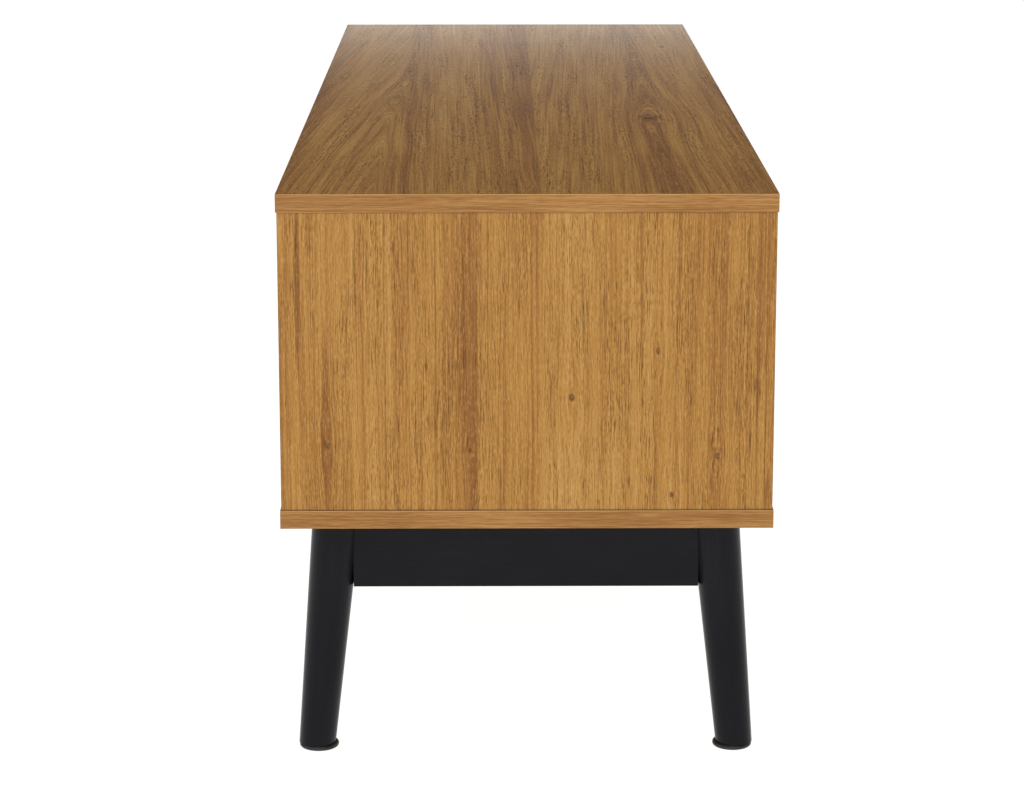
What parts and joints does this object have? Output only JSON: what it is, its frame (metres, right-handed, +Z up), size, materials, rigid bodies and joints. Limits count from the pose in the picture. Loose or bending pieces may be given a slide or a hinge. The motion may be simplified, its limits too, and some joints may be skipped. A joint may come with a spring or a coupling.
{
  "type": "tv stand with doors",
  "caption": "Low oak-look television cabinet with an open centre bay between two inset hinged doors, adjustable shelves and tapered black legs joined by end rails.",
  "frame": {"origin": "on the floor, below the middle of the cabinet", "axes": "+X along the length towards the right end seen from the front, +Y from the front to the back, +Z up"},
  "size_m": [1.2, 0.4, 0.486],
  "materials": {
    "oak_laminate": "golden oak wood-grain laminate, satin",
    "edge_band": "wood-grain edge banding, satin",
    "back_board": "thin hardboard with an oak-grain face",
    "dowel_wood": "plain beech",
    "black_lacquer": "wood with satin black lacquer",
    "black_plastic": "moulded black plastic",
    "nylon": "natural nylon",
    "steel": "zinc-plated steel",
    "zinc_alloy": "die-cast zinc alloy",
    "magnet": "ferrite magnet"
  },
  "bodies": {
    "cabinet": {"angle_brackets": "steel", "bottom_panel": "oak_laminate", "bottom_panel_edge_band": "edge_band", "bracket_screws": "steel", "cam_bolts": "steel", "cam_locks": "zinc_alloy", "catch_magnets": "magnet", "catch_pole_plates": "steel", "catch_screws": "steel", "centre_back_panel": "back_board", "centre_shelf": "oak_laminate", "centre_shelf_edge_band": "edge_band", "hanger_bolts": "steel", "insert_nuts": "steel", "left_back_panel": "back_board", "left_catch_housing": "black_plastic", "left_divider": "oak_laminate", "left_divider_edge_band": "edge_band", "left_end_rail": "black_lacquer", "left_front_glide": "black_plastic", "left_front_leg": "black_lacquer", "left_rear_glide": "black_plastic", "left_rear_leg": "black_lacquer", "left_shelf": "oak_laminate", "left_shelf_edge_band": "edge_band", "left_side_panel": "oak_laminate", "left_side_panel_edge_band": "edge_band", "panel_dowels": "dowel_wood", "pivot_bushes": "nylon", "rail_dowels": "dowel_wood", "right_back_panel": "back_board", "right_catch_housing": "black_plastic", "right_divider": "oak_laminate", "right_divider_edge_band": "edge_band", "right_end_rail": "black_lacquer", "right_front_glide": "black_plastic", "right_front_leg": "black_lacquer", "right_rear_glide": "black_plastic", "right_rear_leg": "black_lacquer", "right_shelf": "oak_laminate", "right_shelf_edge_band": "edge_band", "right_side_panel": "oak_laminate", "right_side_panel_edge_band": "edge_band", "shelf_pins": "steel", "top_panel": "oak_laminate", "top_panel_edge_band": "edge_band"},
    "left_door": {"left_door": "oak_laminate", "left_door_edge_band": "edge_band", "left_pivot_pins": "steel", "left_strike_plate": "steel", "left_strike_screws": "steel"},
    "right_door": {"right_door": "oak_laminate", "right_door_edge_band": "edge_band", "right_pivot_pins": "steel", "right_strike_plate": "steel", "right_strike_screws": "steel"}
  },
  "joints": [
    {"name": "left_door_hinge", "type": "hinge", "parent": "cabinet", "child": "left_door", "pos_m": [-0.573, -0.1915, 0.3485], "axis": [0, 0, -1], "range_deg": [0, 105]},
    {"name": "right_door_hinge", "type": "hinge", "parent": "cabinet", "child": "right_door", "pos_m": [0.573, -0.1915, 0.3485], "axis": [0, 0, 1], "range_deg": [0, 105]}
  ]
}
